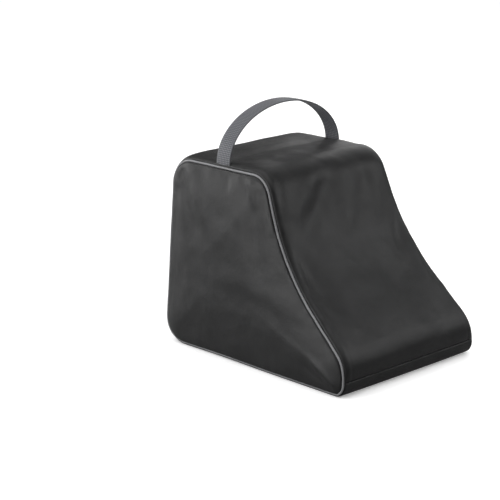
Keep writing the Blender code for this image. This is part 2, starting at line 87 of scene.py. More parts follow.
def trace_outline():
    """Dense points round the side outline, with the length run at each, from the base side of
    the heel up the rear, over the top and down to the toe.  Also where each bend starts and
    ends, and how far each reaches from its corner."""
    spots = np.array(outline_corners)
    radii = np.array(outline_radii)
    count = len(spots)
    back = np.roll(spots, 1, 0) - spots
    ahead = np.roll(spots, -1, 0) - spots
    edge = np.linalg.norm(ahead, axis=1)
    back /= np.linalg.norm(back, axis=1)[:, None]
    ahead /= edge[:, None]
    half = np.arccos((back * ahead).sum(1)) / 2
    wanted = radii / np.tan(half)
    reach = wanted.copy()
    for i in range(count):
        j = (i + 1) % count
        room = edge[i] * 0.98
        if wanted[i] + wanted[j] > room:
            share = room / (wanted[i] + wanted[j])
            reach[i] = min(reach[i], wanted[i] * share)
            reach[j] = min(reach[j], wanted[j] * share)
    points, bends, run = [], [], 0.0
    for i in range(count):
        radius = reach[i] * math.tan(half[i])
        inward = back[i] + ahead[i]
        middle = spots[i] + inward / np.linalg.norm(inward) * radius / math.sin(half[i])
        a = spots[i] + back[i] * reach[i] - middle
        b = spots[i] + ahead[i] * reach[i] - middle
        turn = math.atan2(a[0] * b[1] - a[1] * b[0], a @ b)
        if points:
            run += np.linalg.norm(middle + a - points[-1])
        for k in range(61):
            angle = turn * k / 60
            spoke = (a[0] * math.cos(angle) - a[1] * math.sin(angle),
                     a[0] * math.sin(angle) + a[1] * math.cos(angle))
            points.append(middle + np.array(spoke))
        bends.append((run, run + abs(turn) * radius))
        run += abs(turn) * radius
    points = np.array(points + [points[0]])
    marks = length_marks(points)
    even = np.linspace(0.0, marks[-1], 2165)
    x, z = np.interp(even, marks, points[:, 0]), np.interp(even, marks, points[:, 1])
    dx = np.roll(x[:-1], -1) - np.roll(x[:-1], 1)
    dz = np.roll(z[:-1], -1) - np.roll(z[:-1], 1)
    size = np.hypot(dx, dz)
    nx, nz = -dz / size, dx / size
    close = lambda values: np.append(values, values[0])
    return even, x, z, close(nx), close(nz), bends, reach


run_marks, run_x, run_z, run_nx, run_nz, bends, tangents = trace_outline()
whole_run = run_marks[-1]


def on_outline(run, inset=0.0):
    """x, z and outward normal at lengths run along the outline, moved inwards by inset."""
    run = np.mod(run, whole_run)
    nx, nz = np.interp(run, run_marks, run_nx), np.interp(run, run_marks, run_nz)
    size = np.hypot(nx, nz)
    nx, nz = nx / size, nz / size
    x = np.interp(run, run_marks, run_x) - nx * inset
    z = np.interp(run, run_marks, run_z) - nz * inset
    return x + rear_x, z, nx, nz


def seam_roll(edge, radius):
    """How far the cloth drops at a distance edge from its seam, where it turns in."""
    left = np.clip(1.0 - edge / radius, 0.0, 1.0)
    return -radius * (1.0 - np.sqrt(np.clip(1.0 - left * left, 0.0, 1.0)))


def seam_pucker(run, edge, height, phase=0.0):
    """Small gathers that a seam's stitches draw up beside it."""
    wave = (np.sin(run / 0.0031 + phase) + np.sin(run / 0.0053 + 1.7 * phase + 0.6)
            + 0.8 * np.sin(run / 0.0087 + 2.3 * phase))
    swell = 0.55 + 0.45 * np.sin(run / 0.021 + phase)
    return height / 2.8 * wave * swell * np.exp(-edge / 0.011) * np.clip(edge / 0.003, 0.0, 1.0)


def soft_fold(u, v, start, end, width, height):
    """A soft ridge, or a hollow where height is below 0, that runs from start to end."""
    way = np.array(end) - np.array(start)
    length = np.linalg.norm(way)
    way = way / length
    along = ((u - start[0]) * way[0] + (v - start[1]) * way[1]) / length
    aside = (u - start[0]) * -way[1] + (v - start[1]) * way[0]
    return height * np.exp(-(aside / width) ** 2) * np.exp(-(np.abs(along - 0.5) / 0.55) ** 4)


def all_folds(u, v, rows):
    """Every soft fold of a cloth, from rows of start, end, width and height."""
    total = np.zeros(len(u))
    for start, end, width, height in rows:
        total += soft_fold(u, v, start, end, width, height)
    return total


def crumple(spots, size, height, seed):
    """Slow, uneven waviness of handled cloth."""
    shift = Vector((seed * 3.1, seed * 1.7, seed * 5.3))
    return np.array([height * noise.noise(Vector(spot) / size + shift) for spot in spots])


def settle(spots):
    """The empty bag settles: its long lower edges lift off the floor between heel and toe."""
    edge = np.clip(np.abs(spots[:, 1]) / half_width_floor, 0.0, 1.0) ** 5
    place = np.exp(-((spots[:, 0] + 0.055) / 0.060) ** 2)
    spots[:, 2] += 0.0012 * edge * place * np.exp(-np.clip(spots[:, 2], 0, None) / 0.030)
    return spots


def select_only(*pieces):
    """Selects just these pieces, and makes the last one active."""
    bpy.ops.object.select_all(action="DESELECT")
    for piece in pieces:
        piece.select_set(True)
        bpy.context.view_layer.objects.active = piece


def cloth_grid(name, columns, rows):
    """A flat cloth of so many cells, with the column and row of each of its points."""
    select_only()
    bpy.ops.mesh.primitive_grid_add(x_subdivisions=columns, y_subdivisions=rows, size=1.0)
    cloth = bpy.context.object
    cloth.name = cloth.data.name = name
    flat = np.empty(len(cloth.data.vertices) * 3)
    cloth.data.vertices.foreach_get("co", flat)
    flat = flat.reshape(-1, 3) + 0.5
    return cloth, np.rint(flat[:, 0] * columns).astype(int), np.rint(flat[:, 1] * rows).astype(int)


def lay_cloth(cloth, spots, chart):
    """Puts the cloth's points in place, and its weave chart (metres across and along) on it."""
    cloth.data.vertices.foreach_set("co", np.asarray(spots, float).ravel())
    corner = np.empty(len(cloth.data.loops), int)
    cloth.data.loops.foreach_get("vertex_index", corner)
    cloth.data.uv_layers.active.data.foreach_set("uv", np.asarray(chart, float)[corner].ravel())
    cloth.data.update()


def apply_all(piece):
    """Applies every modifier on a piece, in order."""
    select_only(piece)
    for modifier in list(piece.modifiers):
        bpy.ops.object.modifier_apply(modifier=modifier.name)


def thicken(cloth, thickness, outside=None):
    """Turns the cloth's faces out of the bag, thickens it inwards and smooths it."""
    centre = np.empty(len(cloth.data.polygons) * 3)
    normal = np.empty(len(cloth.data.polygons) * 3)
    cloth.data.polygons.foreach_get("center", centre)
    cloth.data.polygons.foreach_get("normal", normal)
    centre, normal = centre.reshape(-1, 3), normal.reshape(-1, 3)
    way = centre - np.array((0.0, 0.0, 0.11)) if outside is None else np.array(outside)
    if (normal * way).sum() < 0:
        cloth.data.flip_normals()
    wall = cloth.modifiers.new("wall", "SOLIDIFY")
    wall.thickness = thickness
    wall.offset = -1.0
    wall.use_even_offset = False
    apply_all(cloth)
    cloth.data.shade_smooth()


def weld(piece, gap=0.0, turn_out=True):
    """Joins a piece's points that lie within a gap, and turns its faces outwards."""
    work = bmesh.new()
    work.from_mesh(piece.data)
    if gap:
        bmesh.ops.remove_doubles(work, verts=work.verts, dist=gap)
    if turn_out:
        bmesh.ops.recalc_face_normals(work, faces=work.faces)
    work.to_mesh(piece.data)
    work.free()


def dress(piece, finish, slot, body=None, *nodes):
    """Gives a piece its finish, hides the parts it stands for and sets what it moves with; the
    slot is not used.
    """
    piece.data.materials.clear()
    piece.data.materials.append(finish)
    if nodes:
        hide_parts(*nodes)
    if body:
        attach(piece, body)
    return piece


def set_inputs(tree, node, inputs):
    """Sets a node's inputs, each to a value or to the output that feeds it."""
    for key, value in inputs.items():
        if isinstance(value, bpy.types.NodeSocket):
            tree.links.new(value, node.inputs[key])
        else:
            node.inputs[key].default_value = value


def add_node(tree, kind, inputs={}, **settings):
    """Adds a shader node of a kind, with its settings and inputs."""
    node = tree.nodes.new("ShaderNode" + kind)
    for key, value in settings.items():
        setattr(node, key, value)
    set_inputs(tree, node, inputs)
    return node


def new_finish(name):
    """A new finish, its node tree and its shader."""
    made = bpy.data.materials.new(name)
    made.use_nodes = True
    return made, made.node_tree, made.node_tree.nodes["Principled BSDF"]


def noise_amount(tree, place, scale, detail=2.0, roughness=0.5):
    """Noise from 0 to 1."""
    return add_node(tree, "TexNoise", {"Scale": scale, "Detail": detail, "Roughness": roughness,
                                       "Vector": place}).outputs["Fac"]


def blend_amounts(tree, first, second, share):
    """Two amounts blended, with the given share of the second."""
    return add_node(tree, "Mix", {"Factor": share, "A": first, "B": second},
                    data_type="FLOAT").outputs["Result"]


def crossed_threads(tree, place, ways, waver):
    """The over-and-under of a weave: a row of threads each way, multiplied."""
    rows = []
    for way, pitch in ways:
        inputs = {"Scale": 2 * math.pi / (20 * pitch), "Vector": place, **waver}
        rows.append(add_node(tree, "TexWave", inputs, wave_type="BANDS",
                             bands_direction=way).outputs["Fac"])
    return add_node(tree, "Math", {0: rows[0], 1: rows[1]}, operation="MULTIPLY").outputs[0]


def two_tone(tree, amount, dark, light, low=0.0, high=1.0):
    """A colour that runs from dark, where the amount is low, to light, where it is high."""
    ramp = tree.nodes.new("ShaderNodeValToRGB")
    for k, place, tone in ((0, low, dark), (1, high, light)):
        ramp.color_ramp.elements[k].position = place
        ramp.color_ramp.elements[k].color = (*tone, 1.0)
    tree.links.new(amount, ramp.inputs["Fac"])
    return ramp.outputs["Color"]


def add_bump(tree, height, strength, distance, over=None):
    """The normal of a bumpy surface, laid over another bumpy surface's normal if one is given."""
    inputs = {"Strength": strength, "Distance": distance, "Height": height}
    if over is not None:
        inputs["Normal"] = over
    return add_node(tree, "Bump", inputs).outputs["Normal"]


def speckled(name, scale, detail, dark, light, roughness):
    """A finish whose tone varies in fine specks; also its tree, its shader and the specks."""
    made, tree, shader = new_finish(name)
    specks = noise_amount(tree, add_node(tree, "TexCoord").outputs["Object"], scale, detail)
    set_inputs(tree, shader, {"Base Color": two_tone(tree, specks, dark, light),
                              "Roughness": roughness})
    return made, tree, shader, specks


def plain_weave(name, dark, light, pitch, roughness, on_chart=False, weave_bump=0.35,
                crease_bump=0.25, sheen=0.0, specular=0.4):
    """Woven polyester: over-and-under threads, uneven yarn, slow shading and fine creases."""
    made, tree, shader = new_finish(name)
    place = add_node(tree, "TexCoord").outputs["UV" if on_chart else "Object"]
    over = crossed_threads(tree, place, (("X", pitch), ("Y" if on_chart else "Z", pitch)),
                           {"Distortion": 0.6, "Detail": 1.0, "Detail Scale": 0.4})
    slow = noise_amount(tree, place, 22.0, 3.0)
    crease = noise_amount(tree, place, 95.0, 3.0, 0.55)
    blend = blend_amounts(tree, over, noise_amount(tree, place, 900.0), 0.45)
    shade = blend_amounts(tree, blend, slow, 0.40)
    rough = add_node(tree, "MapRange", {"To Min": roughness - 0.06, "To Max": roughness + 0.06,
                                        "Value": slow})
    soft = add_bump(tree, crease, crease_bump, 0.0012)
    set_inputs(tree, shader, {
        "Base Color": two_tone(tree, shade, dark, light, 0.15, 0.75),
        "Roughness": rough.outputs["Result"],
        "Normal": add_bump(tree, blend, weave_bump, pitch * 0.30, soft),
        "Specular IOR Level": specular, "Sheen Weight": sheen, "Sheen Roughness": 0.45})
    return made


cloth_dark, cloth_light = (0.0042, 0.0042, 0.0044), (0.0140, 0.0140, 0.0145)
thread_pitch = 0.00062
side_cloth = plain_weave("side_cloth", cloth_dark, cloth_light, thread_pitch, 0.42, sheen=0.02,
                         specular=0.27)

# The four sides of the panel's patch meet in the middle of the heel, the two top bends and
# the toe.
quarter = [sum(bends[i]) / 2 for i in (0, 1, 2, 5)]
side_rings = [0.0, 0.0003, 0.0009, 0.0016, 0.0025, 0.0037, 0.0052, 0.0074, 0.0100, 0.0130]
side_cells = (96, 72)


def side_point(column, row):
    """Where a cell corner of the patch lies on the flat side outline: x, z."""
    across, up = side_cells
    ring = min(column, row, across - column, up - row, len(side_rings) - 1)
    inset = side_edge_inset + side_rings[ring]
    s = (column - ring) / (across - 2 * ring)
    t = (row - ring) / (up - 2 * ring)
    rear = quarter[0] + (quarter[1] - quarter[0]) * t
    top = quarter[1] + (quarter[2] - quarter[1]) * s
    front = quarter[3] + (quarter[2] - quarter[3]) * t
    base = whole_run + quarter[0] + (quarter[3] - whole_run - quarter[0]) * s
    spot = lambda run: np.array([float(value) for value in on_outline(run, inset)[:2]])
    left, right, low, high = spot(rear), spot(front), spot(base), spot(top)
    if column == ring:
        return left
    if column == across - ring:
        return right
    if row == ring:
        return low
    if row == up - ring:
        return high
    flat = (1 - s) * ((1 - t) * spot(quarter[0]) + t * spot(quarter[1]))
    flat = flat + s * ((1 - t) * spot(quarter[3]) + t * spot(quarter[2]))
    return (1 - s) * left + s * right + (1 - t) * low + t * high - flat


side_cut = {}
for name, side in both_sides:
    cloth, column, row = cloth_grid("side_cloth_" + name, *side_cells)
    if not side_cut:
        flat = np.array([side_point(int(c), int(r)) for c, r in zip(column, row)])
        patch = np.zeros((side_cells[1] + 1, side_cells[0] + 1, 2))
        patch[row, column] = flat
        k = len(side_rings)
        for _ in range(900):
            total = patch[k - 1:-k - 1, k:-k] + patch[k + 1:1 - k, k:-k]
            total = total + patch[k:-k, k - 1:-k - 1] + patch[k:-k, k + 1:1 - k]
            patch[k:-k, k:-k] = total / 4
        flat = patch[row, column]
        rim = np.stack(on_outline(run_marks, side_edge_inset)[:2], axis=1)
        edge, near = [], []
        for spot in flat:
            gap = np.hypot(rim[:, 0] - spot[0], rim[:, 1] - spot[1])
            near.append(run_marks[int(gap.argmin())])
            edge.append(gap.min())
        side_cut = {"flat": flat, "edge": np.array(edge), "near": np.array(near)}
    flat, edge, near = side_cut["flat"], side_cut["edge"], side_cut["near"]
    x, z = flat[:, 0], flat[:, 1]
    ring = np.minimum(np.minimum(column, row),
                      np.minimum(side_cells[0] - column, side_cells[1] - row))
    edge = np.where(ring == 0, 0.0, edge)
    out = side_belly * (1 - (1 - np.clip(edge / 0.115, 0, 1)) ** 2)
    out += 0.0012 * (1 - np.exp(-edge / 0.005))
    out += seam_roll(edge, side_roll)
    out += seam_pucker(near, edge, 0.0006, 1.0 if side > 0 else 2.2)
    pull = 1.0 if side < 0 else 0.8
    folds = all_folds(x, z, [
        # The rear top corner is drawn towards the middle of the panel.
        ((-0.150, 0.250), (-0.112, 0.176), 0.0105, -0.0022 * pull),
        ((-0.128, 0.254), (-0.090, 0.190), 0.0130, 0.0018),
        ((-0.158, 0.212), (-0.128, 0.140), 0.0150, 0.0013 * pull),
        # Gathers below the top seam.
        ((-0.026, 0.262), (-0.014, 0.228), 0.0050, -0.0016),
        ((-0.058, 0.262), (-0.052, 0.236), 0.0060, -0.0013 * pull),
        ((-0.008, 0.258), (0.002, 0.222), 0.0060, 0.0013),
        # Long hollow down the instep, and the panel's fullness behind it.
        ((0.000, 0.236), (0.020, 0.130), 0.0140, -0.0018),
        ((-0.024, 0.215), (-0.010, 0.120), 0.0190, 0.0013 * pull),
        ((-0.060, 0.128), (0.052, 0.106), 0.0160, 0.0012),
        ((-0.050, 0.100), (0.062, 0.080), 0.0160, -0.0011 * pull),
        ((-0.130, 0.090), (-0.040, 0.055), 0.0200, 0.0012),
        # Pulls that fan out of the toe corner.
        ((0.158, 0.010), (0.112, 0.030), 0.0045, -0.0016),
        ((0.160, 0.018), (0.118, 0.044), 0.0050, 0.0014),
        ((0.140, 0.006), (0.086, 0.012), 0.0050, -0.0012),
    ])
    spots = np.stack([x, side * half_width(z), z], axis=1)
    folds += crumple(spots, 0.045, 0.0016, 3.0 + side)
    folds += crumple(spots, 0.017, 0.0004, 7.0 + side)
    out += folds * np.clip(edge / 0.012, 0.0, 1.0) * (1.0 - 0.6 * np.exp(-z / 0.02))
    spots[:, 1] += side * out
    lay_cloth(cloth, settle(spots), flat)
    thicken(cloth, cloth_thickness)
    dress(cloth, side_cloth, "side_cloth", "bag", "side_panel_" + name)


# ------------------------ top and front panel
# One length of the same cloth runs over the top and down the instep to just above the toe.
# It crowns between its seams, and the handle's two roots draw a hollow across the top.
panel_edge = 0.0024           # from the bag's half width to the cut edge
panel_roll = 0.0020
body_cloth = plain_weave("body_cloth", cloth_dark, cloth_light, thread_pitch, 0.43,
                         on_chart=True, sheen=0.02, specular=0.27)
toe_seam_height = 0.022
seam_lap = 0.0015              # how far one panel reaches past a cross seam over the next
rear_low = tangents[0] + 0.0010
rear_high = math.hypot(rear_set_back, rear_height) - tangents[1]
heel_mark = bends[0][1] + rear_low - tangents[0]
high_mark = bends[0][1] + rear_high - tangents[0]
below_toe_bend = run_marks > bends[4][0]
toe_mark = float(np.interp(-toe_seam_height, -run_z[below_toe_bend][:400],
                           run_marks[below_toe_bend][:400]))
cross_edges = [0.0, 0.0004, 0.0011, 0.0020, 0.0031, 0.0046, 0.0066, 0.0092, 0.0130]


def across_cloth(column, middle_cells, half):
    """Distance across the bag of a column, and its distance from the nearer cut edge."""
    rim = len(cross_edges) - 1
    count = middle_cells + 2 * rim
    from_edge = np.minimum(column, count - column)
    share = (column - rim) / middle_cells * 2 - 1
    inner = share * (half - cross_edges[-1])
    outer = np.sign(share) * (half - np.interp(from_edge, range(rim + 1), cross_edges))
    y = np.where(from_edge < rim, outer, inner)
    return y, half - np.abs(y)


front_rows, front_middle = 150, 56
rim_columns = 2 * (len(cross_edges) - 1)
cloth, column, row = cloth_grid("top_front_cloth", front_middle + rim_columns, front_rows)
run = high_mark - seam_lap + (toe_mark - high_mark + seam_lap) * row / front_rows
x, z, nx, nz = on_outline(run)
half = half_width(z) - panel_edge
y, edge = across_cloth(column, front_middle, half)
crown = np.interp(run, [high_mark, bends[1][1], 0.36, 0.41, bends[2][1], 0.53, 0.60, 0.68,
                        toe_mark - 0.02, toe_mark],
                  [0.0010, 0.0055, 0.0068, 0.0066, 0.0040, 0.0030, 0.0024, 0.0034, 0.0024, 0.0008])
out = crown * (1 - (np.abs(y) / half) ** 2.6)
# Beside each seam the cloth puffs up past the piping.
puff = np.interp(run, [high_mark, bends[1][1], bends[2][0], bends[2][1], 0.56, bends[4][0],
                       toe_mark - 0.015, toe_mark],
                 [0.0006, 0.0034, 0.0046, 0.0056, 0.0050, 0.0058, 0.0046, 0.0])
out += puff * (1 - np.exp(-edge / 0.0030)) * (1 - 0.65 * np.clip(edge / 0.045, 0, 1))
out += seam_roll(edge, panel_roll)
out += seam_pucker(run, edge, 0.0006, np.where(y > 0, 0.4, 1.3))
seam_gap = np.minimum(run - high_mark, toe_mark - run)
folds = all_folds(run, y, [
    # Across the top: the hollow between the handle's roots and the swell on either side.
    ((0.368, -0.105), (0.372, 0.105), 0.0120, -0.0024),
    ((0.410, -0.085), (0.402, 0.090), 0.0150, 0.0016),
    ((0.332, -0.080), (0.330, 0.095), 0.0150, 0.0014),
    # Below the bend: hollows that run down and towards the right side.
    ((0.462, 0.010), (0.535, -0.062), 0.0135, -0.0028),
    ((0.462, -0.028), (0.520, -0.086), 0.0130, 0.0020),
    ((0.455, -0.090), (0.512, -0.108), 0.0090, -0.0020),
    ((0.470, 0.040), (0.555, 0.005), 0.0180, 0.0020),
    ((0.470, 0.085), (0.540, 0.070), 0.0130, 0.0020),
    ((0.535, 0.106), (0.600, 0.084), 0.0110, -0.0024),
    ((0.560, 0.122), (0.650, 0.096), 0.0100, 0.0028),
    ((0.560, -0.098), (0.660, -0.086), 0.0160, -0.0034),
    ((0.560, -0.040), (0.640, -0.020), 0.0200, 0.0018),
    ((0.600, 0.045), (0.700, 0.030), 0.0180, -0.0018),
    ((0.640, 0.010), (0.735, 0.045), 0.0200, 0.0020),
])
# The seam allowance shows through beside the lower part of both seams.
ridge = np.exp(-((edge - 0.0062) / 0.0011) ** 2) - 1.2 * np.exp(-((edge - 0.0088) / 0.0010) ** 2)
ridge *= np.clip((run - 0.610) / 0.050, 0.0, 1.0)
spots = np.stack([x, y, z], axis=1)
folds += crumple(spots, 0.050, 0.0018, 11.0)
folds += crumple(spots, 0.018, 0.0004, 13.0)
out += folds * np.clip(edge / 0.012, 0, 1) * np.clip(seam_gap / 0.015, 0, 1)
out += 0.0005 * ridge
out += np.where(run < high_mark + 0.01, seam_roll(run - high_mark, 0.0012), 0.0)
spots += np.stack([nx * out, 0 * out, nz * out], axis=1)
lay_cloth(cloth, settle(spots), np.stack([y, run], axis=1))
thicken(cloth, cloth_thickness)
dress(cloth, body_cloth, "body_cloth", "bag", "top_front_panel")
front_cloth = cloth


# ------------------------ base panel
# The base is one more length of body cloth.  It turns up at the toe and the heel and is
# felled over the panels there with a row of topstitching.
base_rows, base_middle = 96, 56
cloth, column, row = cloth_grid("base_cloth", base_middle + rim_columns, base_rows)
base_end = whole_run + heel_mark
run = toe_mark - seam_lap + (base_end - toe_mark + seam_lap) * row / base_rows
x, z, nx, nz = on_outline(run)
half = half_width(z) - panel_edge
y, edge = across_cloth(column, base_middle, half)
crown = np.interp(run, [toe_mark, toe_mark + 0.012, bends[5][1], whole_run, base_end - 0.02,
                        base_end], [0.0008, 0.0014, 0.0, 0.0, 0.0014, 0.0008])
out = crown * (1 - (np.abs(y) / half) ** 2.6)
out += seam_roll(edge, panel_roll)
out += np.where(nz > -0.7, seam_pucker(run, edge, 0.0005, 0.9), 0.0)
out += 0.0004 * np.exp(-((run - toe_mark - 0.002) / 0.003) ** 2)
out += np.where(run < toe_mark + 0.01, seam_roll(run - toe_mark, 0.0011), 0.0)
out += np.where(run > base_end - 0.01, seam_roll(base_end - run, 0.0011), 0.0)
spots = np.stack([x, y, z], axis=1)
out += np.where(nz > -0.6, crumple(spots, 0.030, 0.0009, 17.0), 0.0) * np.clip(edge / 0.012, 0, 1)
spots += np.stack([nx * out, 0 * out, nz * out], axis=1)
spots = settle(spots)
spots[:, 2] = np.maximum(spots[:, 2], 0.0)
lay_cloth(cloth, spots, np.stack([y, run], axis=1))
thicken(cloth, cloth_thickness)
dress(cloth, body_cloth, "body_cloth", "bag", "base_panel")
base_cloth = cloth


# ------------------------ piping
# A cord wrapped in light grey bias-cut cloth, caught in each side seam all the way round.
piping_seat = 0.0016          # from the side panel's plane in to the middle of the cord
cord_sides, cord_rings = 14, 620
piping_cloth = plain_weave("piping_cloth", (0.15, 0.15, 0.155), (0.29, 0.29, 0.30), 0.00050, 0.55,
                           on_chart=True, weave_bump=0.5, crease_bump=0.35, sheen=0.1,
                           specular=0.35)
for name, side in both_sides:
    tube, column, row = cloth_grid("piping_tube_" + name, cord_sides, cord_rings)
    run = whole_run * row / cord_rings
    angle = 2 * math.pi * column / cord_sides
    sway = 0.00018 * np.sin(run * 2 * math.pi * 9 / whole_run + side)
    sway = sway + 0.00012 * np.sin(run * 2 * math.pi * 31 / whole_run)
    x, z, nx, nz = on_outline(run, 2 * piping_radius)
    # The wrapping draws in slightly at each stitch of the seam.
    stitch = 0.5 + 0.5 * np.sin(run * 2 * math.pi * 300 / whole_run)
    girth = piping_radius * (1.0 - 0.035 * stitch)
    # Under the base the bag's weight tucks the cord in behind the side panel.
    tuck = 0.0014 * np.clip((-nz - 0.75) / 0.2, 0.0, 1.0)
    y = side * (half_width(z) - piping_seat - tuck + sway + girth * np.sin(angle))
    proud = girth * np.cos(angle)
    spots = np.stack([x + nx * proud, y, z + nz * proud], axis=1)
    spots = settle(spots)
    spots[:, 2] = np.maximum(spots[:, 2], 0.0)
    lay_cloth(tube, spots, np.stack([angle * piping_radius, run], axis=1))
    weld(tube, 0.00001)
    tube.data.shade_smooth()
    dress(tube, piping_cloth, "piping_cloth", "bag", "piping_" + name)


# ------------------------ seam bindings
# Black binding tape is sewn over the raw edges of both side seams, inside the bag.
binding_tape = plain_weave("binding_tape", (0.008, 0.008, 0.008), (0.022, 0.022, 0.022), 0.0008,
                           0.65, on_chart=True, weave_bump=0.5, specular=0.3)
tape_columns, tape_rows = 6, 420
for name, side in both_sides:
    tape, column, row = cloth_grid("binding_tape_" + name, tape_columns, tape_rows)
    run = whole_run * row / tape_rows
    x, z, nx, nz = on_outline(run, 0.0024)
    bow = 0.0005 * (1 - (column / 3.0 - 1.0) ** 2)
    y = side * (half_width(z) - 0.0062 - 0.0070 * column / tape_columns)
    ripple = 0.0003 * np.sin(run / 0.006) + 0.0002 * np.sin(run / 0.0097)
    spots = np.stack([x - nx * (bow + ripple), y, z - nz * (bow + ripple)], axis=1)
    lay_cloth(tape, spots, np.stack([np.abs(y), run], axis=1))
    weld(tape, 0.00001, turn_out=False)
    thicken(tape, 0.0012)
    dress(tape, binding_tape, "binding_tape", "bag", "seam_binding_" + name)


# ------------------------ base board
# A loose stiffening board of black fibreboard that lies on the base inside the bag.
fibreboard, tree, shader, pulp = speckled("fibreboard", 420.0, 5.0, (0.012, 0.012, 0.012),
                                          (0.045, 0.044, 0.042), 0.7)
set_inputs(tree, shader, {"Normal": add_bump(tree, pulp, 0.4, 0.0003)})
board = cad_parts["base_board"]
if board.material_slots:
    for slot in board.material_slots:
        slot.material = fibreboard
else:
    board.data.materials.append(fibreboard)


# ------------------------ rear surround
# The rear panel is slit in a tall arch for the zip.  What stays outside the zip is the
# surround: its slit edge is folded under and topstitched to the zip tape.
lean = math.atan2(rear_set_back, rear_height)
zip_half = (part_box("zip_slider")[0][1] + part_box("zip_slider")[1][1]) / 2
zip_top = 0.213524
zip_bend = 0.040
fabric_edge = 0.0070          # from the middle of the zip to the folded edge
zip_foot = rear_low + 0.0020 + 0.0030
fold_height = 0.067976        # up the rear face to where the flap folds


def on_rear(across, up, out=0.0):
    """Points on the rear face: across from the bag's left to its right, up the face, and out."""
    across, up, out = np.broadcast_arrays(np.asarray(across, float), up, out)
    x = rear_x + up * math.sin(lean) - out * math.cos(lean)
    z = up * math.cos(lean) + out * math.sin(lean)
    return np.stack([x, -across, z], axis=1)


def zip_line(low, share):
    """The zip's middle line at shares 0 to 1 of its length, from low on the left leg over the
    top to low on the right: across, up, the direction out of the arch, and length run."""
    leg = zip_top - zip_bend - low
    bow = zip_bend * math.pi / 2
    flat = 2 * (zip_half - zip_bend)
    length = 2 * leg + 2 * bow + flat
    run = np.asarray(share, float) * length
    mirror = run > length / 2
    way = np.where(mirror, length - run, run)
    angle = np.clip((way - leg) / zip_bend, 0.0, math.pi / 2)
    over = np.clip(way - leg - bow, 0.0, None)
    across = -(zip_half - zip_bend) - zip_bend * np.cos(angle) + over
    up = low + np.clip(way, 0, leg) + zip_bend * np.sin(angle)
    out_a, out_s = -np.cos(angle), np.sin(angle)
    sign = np.where(mirror, -1.0, 1.0)
    return across * sign, up, out_a * sign, out_s, run


def rear_half(up):
    return half_width(up * math.cos(lean)) - panel_edge


ring_inner = [0.0, 0.0003, 0.0009, 0.0016, 0.0025]
ring_outer = [0.0046, 0.0031, 0.0020, 0.0011, 0.0004, 0.0]
ring_middle = 6
ring_rows = len(ring_inner) + len(ring_outer) + ring_middle - 2
ring_columns = 210


def ring_reach(across, up, out_a, out_s):
    """From the zip's middle line out to the panel's edge, and how far that edge is the top."""
    slope = (half_width_floor - half_width_top) / rear_height
    side = (rear_half(up) - np.abs(across)) / (np.abs(out_a) + slope * out_s + 1e-9)
    above = np.where(out_s > 1e-6, (rear_high - up) / np.maximum(out_s, 1e-6), 9.0)
    return np.minimum(side, above), above < side


def ring_offset(row, reach):
    """Distance from the zip's middle line of a row of the surround."""
    inner, outer = len(ring_inner) - 1, len(ring_outer) - 1
    first = fabric_edge + np.interp(row, range(inner + 1), ring_inner)
    last = reach - np.interp(row, range(ring_rows - outer, ring_rows + 1), ring_outer)
    share = (row - inner) / ring_middle
    low, high = fabric_edge + ring_inner[-1], reach - ring_outer[0]
    return np.where(row <= inner, first,
                    np.where(row >= ring_rows - outer, last, low + (high - low) * share))


ring, column, row = cloth_grid("rear_surround_cloth", ring_columns, ring_rows)
across, up, out_a, out_s = zip_line(zip_foot, column / ring_columns)[:4]
reach, is_top = ring_reach(across, up, out_a, out_s)
offset = ring_offset(row, reach)
edge = reach - offset
out = seam_roll(offset - fabric_edge, 0.0009)
out += np.where(is_top, seam_roll(edge, 0.0012), seam_roll(edge, panel_roll))
room = np.clip(np.minimum(edge, offset - fabric_edge) / 0.008, 0.0, 1.0)
a, s = across + out_a * offset, up + out_s * offset
spots = on_rear(a, s, 0.0)
out += (0.0016 * room + crumple(spots, 0.028, 0.0012, 23.0) * room)
out += np.where(is_top, 0.0, seam_pucker(s, edge, 0.0004, 0.3)) * room
lay_cloth(ring, on_rear(a, s, out), np.stack([a, s], axis=1))

foot_reach = float(rear_half(np.array([zip_foot]))[0] - zip_half)
foot_offsets = ring_offset(np.arange(ring_rows + 1), foot_reach)
outer_columns = -(zip_half + foot_offsets[::-1])
middle_columns = np.linspace(-(zip_half + fabric_edge), zip_half + fabric_edge, 62)[1:-1]
band_columns = np.concatenate([outer_columns, middle_columns, -outer_columns[::-1]])
band_heights = zip_foot - np.array([0.0, 0.0010, 0.0020, 0.0030, 0.0039, 0.0046, 0.0050])
band, column, row = cloth_grid("rear_band_cloth", len(band_columns) - 1, len(band_heights) - 1)
a, s = band_columns[column], band_heights[row]
edge = rear_half(s) - np.abs(a) * rear_half(s) / rear_half(np.full(len(s), zip_foot))
out = seam_roll(edge, panel_roll) + seam_roll(s - band_heights[-1], 0.0011)
over_zip = np.abs(np.abs(a) - zip_half) < fabric_edge + 1e-6
out += np.where(over_zip, seam_roll(zip_foot - s, 0.0009), 0.0)
a = a * rear_half(s) / rear_half(np.full(len(s), zip_foot))
lay_cloth(band, on_rear(a, s, out), np.stack([a, s], axis=1))
select_only(band, ring)
bpy.ops.object.join()
weld(ring, 0.00002)
thicken(ring, cloth_thickness, outside=(-1.0, 0.0, 0.0))
dress(ring, body_cloth, "body_cloth", "bag", "rear_surround")
surround_cloth = ring
